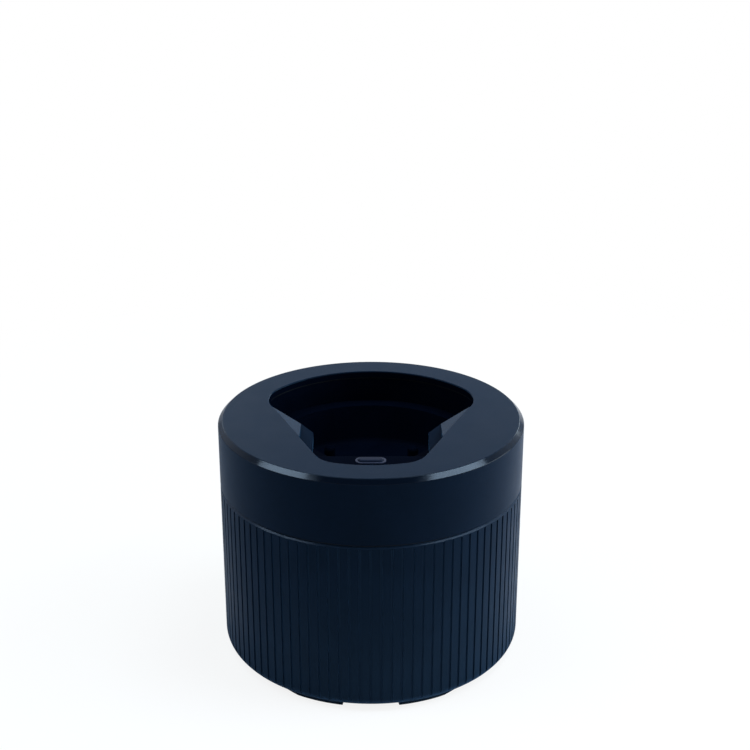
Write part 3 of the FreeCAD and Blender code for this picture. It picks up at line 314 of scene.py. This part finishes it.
def base_plastic(name):
    """The cup: painted light from the floor towards its foot, painted light in the grooves
    against their shadow, and a glazed rim with a painted highlight.
    """
    graph = coated(name, CUP_NAVY, roughness=0.42)
    height = graph.axes["Z"]
    chamfer_foot = CUP_TOP - CUP_CHAMFER

    rim = graph.spread(height, chamfer_foot - MASK_EDGE, chamfer_foot + MASK_EDGE)
    deep = graph.spread(graph.radius(), RADIUS - GROOVE_DEPTH,
                        RADIUS - GROOVE_MOUTH * GROOVE_DEPTH, 1.0, 0.0)
    under_rim = graph.spread(height, CUP_TOP - GROOVE_FULL * CUP_CHAMFER,
                             CUP_TOP - GROOVE_GONE * CUP_CHAMFER, 1.0, 0.0)
    groove = graph.product(deep, under_rim)

    # Painted light: lighter towards the foot, where light from the floor would fall.
    shade = graph.mix(graph.spread(height, FLOOR_LIGHT_TOP, FLOOR_LIGHT_FULL),
                      graph.tones(PATCH_SCALE, PATCH_SHARE),
                      graph.tones(PATCH_SCALE, PATCH_SHARE, FLOOR_LIT_NAVY))
    # Painted light: the grooves take a lighter colour against their shadow.
    shade = graph.mix(groove, shade, LIT_GROOVE_NAVY)
    # Painted highlight: the rim chamfer takes a lighter colour.
    graph.set("Base Color", graph.mix(rim, shade, RIM_HIGHLIGHT_NAVY))

    matt = graph.wandering(graph.noise(MARK_SCALE, MARK_DETAIL), amount=0.05)
    graph.set("Roughness", graph.math("SUBTRACT", matt, graph.product(rim, RIM_POLISH)))
    graph.set("Coat Weight", graph.product(rim, GLAZE))
    graph.set("Coat Roughness", 0.2)
    graph.bump(graph.noise(GRAIN_SCALE, GRAIN_DETAIL), GRAIN_DEPTH)
    return graph.material


# ---- Finishes of the other pieces ----

EVERY_WAY = (1.0, 1.0, 1.0)
ALONG_X, ALONG_Y, ALONG_Z = (0.05, 1.0, 1.0), (1.0, 0.05, 1.0), (1.0, 1.0, 0.04)
STEEL = (0.32, 0.3, 0.29)
COPPER = (0.6, 0.28, 0.14)
LAMINATION = 0.5


def moulded(name, color, roughness, specular=0.5, grain=GRAIN_SCALE, depth=GRAIN_DEPTH,
            patches=PATCH_SHARE):
    """Spark-eroded matt plastic: fine grain, faint patches and handling marks."""
    graph = Graph(name, color, roughness)
    graph.set("Specular IOR Level", specular)
    graph.set("Base Color", graph.tones(PATCH_SCALE, patches))
    graph.set("Roughness", graph.wandering(graph.noise(MARK_SCALE, MARK_DETAIL), amount=0.05))
    graph.bump(graph.noise(grain, GRAIN_DETAIL), depth)
    return graph.material


def milky_plastic(name, color):
    """Unfilled polypropylene: slightly clear, waxy and evenly grained."""
    material = moulded(name, color, roughness=0.38, grain=2.0, depth=0.015, patches=0.025)
    shader = material.node_tree.nodes["Principled BSDF"]
    shader.inputs["Transmission Weight"].default_value = 0.12
    return material


def polished(name, color, roughness, specular=0.5):
    """Glossy moulded plastic with faint hairline scratches and dried-water haze."""
    graph = Graph(name, color, roughness)
    graph.set("Specular IOR Level", specular)
    lines = graph.noise(scale=4.0, detail=2.0, place=graph.stretched(ALONG_Y))
    hairs = graph.spread(lines, low=0.62, high=0.72, to_high=0.05)
    haze = graph.spread(graph.noise(scale=0.09, detail=5.0), low=0.4, high=0.7, to_high=0.08)
    worn = graph.math("ADD", hairs, haze)
    graph.set("Roughness", graph.math("ADD", worn, roughness))
    graph.set("Base Color", graph.tones(scale=0.1, share=0.12))
    graph.bump(graph.noise(scale=0.35, detail=2.0), depth=0.01)
    return graph.material


def rubber(name, color, specular=0.3):
    """Soft matt rubber with a dusty bloom."""
    graph = Graph(name, color, roughness=0.8)
    graph.set("Specular IOR Level", specular)
    graph.set("Base Color", graph.tones(scale=0.3, share=0.2))
    graph.set("Roughness", graph.wandering(graph.noise(scale=0.8), amount=0.1))
    graph.bump(graph.noise(scale=2.5, detail=4.0), depth=0.04)
    return graph.material


def metal(name, color, roughness, stretch=ALONG_Z, scale=3.0):
    """Metal with drawn or brushed lines along one axis."""
    graph = Graph(name, color, roughness)
    graph.set("Metallic", 1.0)
    lines = graph.noise(scale, place=graph.stretched(stretch))
    graph.set("Base Color", graph.tones(scale=0.5, share=0.06))
    graph.set("Roughness", graph.wandering(lines, amount=0.1))
    graph.bump(lines, depth=0.01)
    return graph.material


def felt(name):
    """Pressed fibre: tangled threads and a soft nap."""
    dark_thread, pale_thread = (0.42, 0.4, 0.34), (0.72, 0.7, 0.63)
    graph = Graph(name, (0.66, 0.63, 0.56), roughness=0.95)
    both_ways = [graph.noise(scale=2.0, detail=5.0, roughness=0.7, place=graph.stretched(factors))
                 for factors in ((1.0, 0.2, 1.0), (0.2, 1.0, 1.0))]
    threads = graph.math("MAXIMUM", *both_ways)
    on_top = graph.spread(threads, low=0.4, high=0.75)
    graph.set("Base Color", graph.mix(on_top, dark_thread, pale_thread))
    graph.set("Sheen Weight", 0.3)
    graph.bump(threads, depth=0.2)
    return graph.material


def circuit_board(name):
    """Green solder mask over routed copper tracks and round pads."""
    over_copper = (0.05, 0.19, 0.06)
    graph = Graph(name, (0.012, 0.09, 0.035), roughness=0.35)
    brick = graph.add("ShaderNodeTexBrick", Vector=graph.place, Scale=0.9, Mortar_Size=0.06)
    brick.offset = 0.37
    cells = graph.add("ShaderNodeTexVoronoi", Vector=graph.place, Scale=0.45)
    pads = graph.spread(cells.outputs["Distance"], low=0.16, high=0.2, to_low=1.0, to_high=0.0)
    tracks = graph.math("MAXIMUM", brick.outputs["Fac"], pads)
    mask = graph.tones(scale=0.4, share=0.1)
    graph.set("Base Color", graph.mix(tracks, mask, over_copper))
    graph.bump(tracks, depth=0.03)
    return graph.material


def light_guide(name):
    """Smoked plastic over unlit lamps: smooth, and a little lighter than the tray."""
    graph = Graph(name, (0.028, 0.034, 0.06), roughness=0.25)
    graph.set("Specular IOR Level", 0.05)
    graph.set("Base Color", graph.tones(scale=0.6, share=0.08))
    graph.set("Roughness", graph.wandering(graph.noise(scale=0.9), amount=0.05))
    graph.bump(graph.noise(scale=1.5, detail=2.0), depth=0.01)
    return graph.material


def shrink_wrap(name):
    """Plain shrink sleeve: glossy, with faint stretch lines round the cell."""
    graph = Graph(name, (0.03, 0.1, 0.28), roughness=0.3)
    rings = graph.noise(scale=1.2, place=graph.stretched((0.15, 0.15, 1.0)))
    graph.set("Base Color", graph.tones(scale=0.15, share=0.1))
    graph.set("Roughness", graph.wandering(rings, amount=0.08))
    graph.bump(rings, depth=0.04)
    return graph.material


def armature(name):
    """Stacked steel laminations with copper showing in the slots."""
    graph = Graph(name, STEEL, roughness=0.45)
    graph.set("Metallic", 1.0)
    sheets = graph.math("SINE", graph.product(graph.axes["Z"], 2 * math.pi / LAMINATION))
    windings = graph.spread(graph.noise(scale=0.5, detail=2.0), low=0.5, high=0.6)
    graph.set("Base Color", graph.mix(windings, STEEL, COPPER))
    graph.set("Roughness", graph.wandering(graph.noise(scale=2.0), amount=0.1))
    graph.bump(sheets, depth=0.05)
    return graph.material


# The finish of each material slot: its maker, and the values it takes after the slot's name.
FINISHES = {
    "cover_plastic": (cover_plastic,),
    "base_plastic": (base_plastic,),
    "light_ring": (light_guide,),
    "filter_felt": (felt,),
    "board_green": (circuit_board,),
    "battery_wrap": (shrink_wrap,),
    "armature_steel": (armature,),
    # Colour, roughness, specular level.
    "tray_plastic": (polished, (0.0007, 0.0018, 0.0055), 0.22, 0.001),
    "button_plastic": (polished, (0.01, 0.014, 0.028), 0.3, 0.03),
    "pump_plastic": (polished, (0.55, 0.55, 0.52), 0.35),
    "led_lens": (polished, (0.6, 0.6, 0.54), 0.12),
    # Colour, specular level.
    "foot_rubber": (rubber, (0.008, 0.017, 0.032), 0.03),
    "seal_rubber": (rubber, (0.006, 0.007, 0.009), 0.05),
    "boot_silicone": (rubber, (0.3, 0.31, 0.33)),
    "lead_insulation": (rubber, (0.3, 0.02, 0.018)),
    # Colour.
    "cartridge_plastic": (milky_plastic, (0.36, 0.4, 0.45)),
    "hose_silicone": (milky_plastic, (0.66, 0.67, 0.64)),
    # Colour, roughness, specular level, grain.
    "chassis_plastic": (moulded, (0.01, 0.012, 0.016), 0.5, 0.12),
    "motor_plastic": (moulded, (0.6, 0.58, 0.52), 0.45),
    "magnet_ferrite": (moulded, (0.02, 0.02, 0.021), 0.6, 0.5, 5.0),
    "chip_black": (moulded, (0.012, 0.012, 0.013), 0.55, 0.5, 6.0),
    # Colour, roughness, way of the lines, their scale.
    "motor_steel": (metal, (0.5, 0.5, 0.51), 0.28),
    "socket_steel": (metal, (0.55, 0.55, 0.56), 0.25, ALONG_Y),
    "contact_metal": (metal, (0.62, 0.6, 0.52), 0.25, ALONG_X),
    "screw_steel": (metal, (0.56, 0.56, 0.55), 0.3, EVERY_WAY, 1.5),
    "bearing_bronze": (metal, (0.5, 0.31, 0.13), 0.4, EVERY_WAY, 6.0),
}


def dress():
    """Give every node of the frame the finish of its slot."""
    made = {slot: make(slot, *values) for slot, (make, *values) in FINISHES.items()}
    slots = {part["node"]: part["material_slot"] for part in frame["record"]["subparts"]}
    for node, piece in nodes.items():
        piece.data.materials.clear()
        piece.data.materials.append(made[slots[node]])


# ---- Painted shade on the bay's wall ----

# Sizes of the dark film that paints shade on the bay's wall.
SHADE_FILM_GAP = 0.01
SHADE_FILM_THICKNESS = 0.04
SHADE_FILM_FRONT_Y = -2.0
SHADE_FILM_DEPTH = 2.6
WALL_TOLERANCE = 0.1
UPRIGHT_NORMAL_Z = 0.05
MERGE_DISTANCE = 0.001


def on_bay_wall(face):
    """Whether a face of the cap lies on the upright wall round the back of the opening."""
    middle = face.calc_center_median() / MM
    lowest = min(vertex.co.z for vertex in face.verts) / MM
    return (abs(face.normal.z) < UPRIGHT_NORMAL_Z
            and math.hypot(middle.x, middle.y) < BAY_RADIUS + WALL_TOLERANCE
            and middle.y > SHADE_FILM_FRONT_Y
            and lowest > TOP - SHADE_FILM_DEPTH)


def paint_bay_shade():
    """A thin dark film of painted shade on the opening's upright wall, round the back and both
    corners.
    """
    shell = bmesh.new()
    shell.from_mesh(nodes["top_cover"].data)
    shell.normal_update()
    spare = [face for face in shell.faces if not on_bay_wall(face)]
    bmesh.ops.delete(shell, geom=spare, context="FACES")
    bmesh.ops.remove_doubles(shell, verts=shell.verts, dist=MERGE_DISTANCE * MM)
    shell.normal_update()
    for vertex in shell.verts:
        vertex.co += vertex.normal * (SHADE_FILM_GAP + SHADE_FILM_THICKNESS) * MM
    bmesh.ops.solidify(shell, geom=shell.faces[:], thickness=SHADE_FILM_THICKNESS * MM)
    for face in shell.faces:
        face.smooth = False
    mesh = bpy.data.meshes.new("bay_shade_film")
    shell.to_mesh(mesh)
    shell.free()
    mesh.materials.append(nodes["shaver_tray"].data.materials[0])
    shade_film = bpy.data.objects.new("bay_shade_film", mesh)
    bpy.context.scene.collection.objects.link(shade_film)
    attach(shade_film, "top_unit")


# ---- Studio ----

FLOOR_SIZE = 12.0
PAPER_WHITE = (0.9, 0.9, 0.9, 1)
PAPER_GLOW = 0.85
GLOW_NEAR, GLOW_FAR = 0.1, 0.4

# What glossy surfaces see: greys by distance from the pod's axis, dimmer on its left,
# and greys of the room by the height of the direction they look in.
MIRRORED_FLOOR = ((0.054, 0.1), (0.075, 1.0), (0.13, 1.0), (0.2, 0.7), (0.4, 1.0))
MIRRORED_ROOM = ((0.0, 0.3), (0.28, 1.0), (0.45, 1.0), (0.7, 0.1))
DIM_X, BRIGHT_X = -0.12, 0.04
DIM_SIDE = 0.5

ROOM_LIGHT = 0.2
ROOM_WHITE = (1, 1, 1, 1)
LAMP_COLOR = (0.82, 0.95, 1.0)
STRIP_COLOR = (0.62, 0.8, 1.0)
LAMP_DISTANCE = 1.1

# Name, heading, elevation, width, height, radiance, colour, roll. Angles are in degrees.
LAMPS = (
    ("left_strip", 187, 46.5, 0.62, 0.08, 16.0, STRIP_COLOR, 35),
    ("left_strip_ends", 191, 47, 0.82, 0.08, 8.0, STRIP_COLOR, 35),
    ("right_strip", 352, 47.5, 0.72, 0.08, 18.0, STRIP_COLOR, -33),
    ("right_strip_ends", 348, 48, 0.9, 0.08, 9.0, STRIP_COLOR, -33),
    ("left_high", 178, 74, 0.5, 0.5, 5.0, LAMP_COLOR, 0),
    ("right_high", 2, 74, 0.5, 0.5, 7.0, LAMP_COLOR, 0),
    ("left_low", 195, 12, 0.9, 0.4, 1.5, LAMP_COLOR, 0),
    ("right_low", 0, 14, 1.1, 0.5, 9.0, LAMP_COLOR, 0),
    ("back_left", 115, 20, 0.6, 0.3, 2.0, LAMP_COLOR, 0),
    ("back_right", 60, 16, 0.6, 0.3, 5.0, LAMP_COLOR, 0),
)


def seen_by_eye(tree):
    """1 for camera, mirror and see-through rays, 0 for the rays that carry soft light."""
    rays = tree.nodes.new("ShaderNodeLightPath").outputs
    seen = calculate(tree, "MAXIMUM", rays["Is Camera Ray"], rays["Is Glossy Ray"])
    return calculate(tree, "MAXIMUM", seen, rays["Is Transmission Ray"])


def blended(tree, factor, first, second):
    node = tree.nodes.new("ShaderNodeMixShader")
    for socket, value in zip(node.inputs, (factor, first, second)):
        feed(tree, socket, value)
    return node.outputs[0]


def grey_ramp(tree, value, stops):
    """A grey that follows a value through stops of (value, grey), the first at zero or above."""
    reach = stops[-1][0]
    ramp = tree.nodes.new("ShaderNodeValToRGB")
    feed(tree, ramp.inputs["Fac"], map_range(tree, value, 0.0, reach))
    elements = ramp.color_ramp.elements
    while len(elements) < len(stops):
        elements.new(1.0)
    for element, (place, grey) in zip(elements, stops):
        element.position = place / reach
        element.color = (grey, grey, grey, 1)
    return ramp.outputs["Color"]


def floor_material():
    """White paper that keeps the pod's shadow, and is a shaded white to glossy surfaces."""
    material = bpy.data.materials.new("floor")
    material.use_nodes = True
    tree = material.node_tree
    tree.nodes.remove(tree.nodes["Principled BSDF"])
    place = tree.nodes.new("ShaderNodeTexCoord").outputs["Object"]
    length = tree.nodes.new("ShaderNodeVectorMath")
    length.operation = "LENGTH"
    feed(tree, length.inputs[0], place)
    distance = length.outputs["Value"]
    axes = tree.nodes.new("ShaderNodeSeparateXYZ")
    feed(tree, axes.inputs[0], place)

    paper = tree.nodes.new("ShaderNodeBsdfDiffuse")
    paper.inputs["Color"].default_value = PAPER_WHITE
    glow = tree.nodes.new("ShaderNodeEmission")
    share = map_range(tree, distance, GLOW_NEAR, GLOW_FAR, PAPER_GLOW, 1.0)
    white = blended(tree, share, paper.outputs[0], glow.outputs[0])

    mirrored = tree.nodes.new("ShaderNodeEmission")
    feed(tree, mirrored.inputs["Color"], grey_ramp(tree, distance, MIRRORED_FLOOR))
    side = map_range(tree, axes.outputs["X"], DIM_X, BRIGHT_X, DIM_SIDE, 1.0)
    feed(tree, mirrored.inputs["Strength"], side)

    rays = tree.nodes.new("ShaderNodeLightPath").outputs
    white = blended(tree, rays["Is Glossy Ray"], white, mirrored.outputs[0])
    surface = blended(tree, seen_by_eye(tree), paper.outputs[0], white)
    feed(tree, tree.nodes["Material Output"].inputs["Surface"], surface)
    return material


def make_floor():
    mesh = bpy.data.meshes.new("floor")
    half = FLOOR_SIZE / 2
    corners = [(-half, -half, 0), (half, -half, 0), (half, half, 0), (-half, half, 0)]
    mesh.from_pydata(corners, [], [(0, 1, 2, 3)])
    mesh.materials.append(floor_material())
    floor = bpy.data.objects.new("floor", mesh)
    bpy.context.scene.collection.objects.link(floor)


def make_world():
    """White to the camera, a shaded white to glossy surfaces, and an even soft light."""
    world = bpy.data.worlds.new("studio")
    bpy.context.scene.world = world
    world.use_nodes = True
    tree = world.node_tree
    light = tree.nodes["Background"]
    light.inputs["Color"].default_value = (*LAMP_COLOR, 1)
    light.inputs["Strength"].default_value = ROOM_LIGHT
    axes = tree.nodes.new("ShaderNodeSeparateXYZ")
    feed(tree, axes.inputs[0], tree.nodes.new("ShaderNodeTexCoord").outputs["Generated"])
    rays = tree.nodes.new("ShaderNodeLightPath").outputs
    shade = grey_ramp(tree, axes.outputs["Z"], MIRRORED_ROOM)
    white = tree.nodes.new("ShaderNodeBackground")
    white.inputs["Color"].default_value = ROOM_WHITE
    strength = calculate(tree, "MAXIMUM", rays["Is Camera Ray"], shade)
    feed(tree, white.inputs["Strength"], strength)
    surface = blended(tree, seen_by_eye(tree), light.outputs[0], white.outputs[0])
    feed(tree, tree.nodes["World Output"].inputs["Surface"], surface)


def make_lamp(name, heading, elevation, width, height, radiance, color, roll):
    """An oval lamp that faces the pod from a heading and elevation.

    A positive roll lifts the end of its width that lies towards larger headings.
    """
    data = bpy.data.lights.new(name, "AREA")
    data.shape = "ELLIPSE"
    data.size = width
    data.size_y = height
    area = math.pi * width * height / 4
    data.energy = radiance * math.pi * area
    data.color = color
    lamp = bpy.data.objects.new(name, data)
    lamp.visible_camera = False
    bpy.context.scene.collection.objects.link(lamp)
    target = Matrix.Translation((0, 0, TOP * MM / 2))
    turn = Matrix.Rotation(math.radians(heading), 4, "Z")
    lift = Matrix.Rotation(math.radians(90 - elevation), 4, "Y")
    away = Matrix.Translation((0, 0, LAMP_DISTANCE))
    spin = Matrix.Rotation(math.radians(90 + roll), 4, "Z")
    lamp.matrix_world = target @ turn @ lift @ away @ spin


make_camera()
dress()
paint_bay_shade()
make_floor()
make_world()
for lamp_values in LAMPS:
    make_lamp(*lamp_values)
bpy.context.scene.view_settings.view_transform = "Standard"
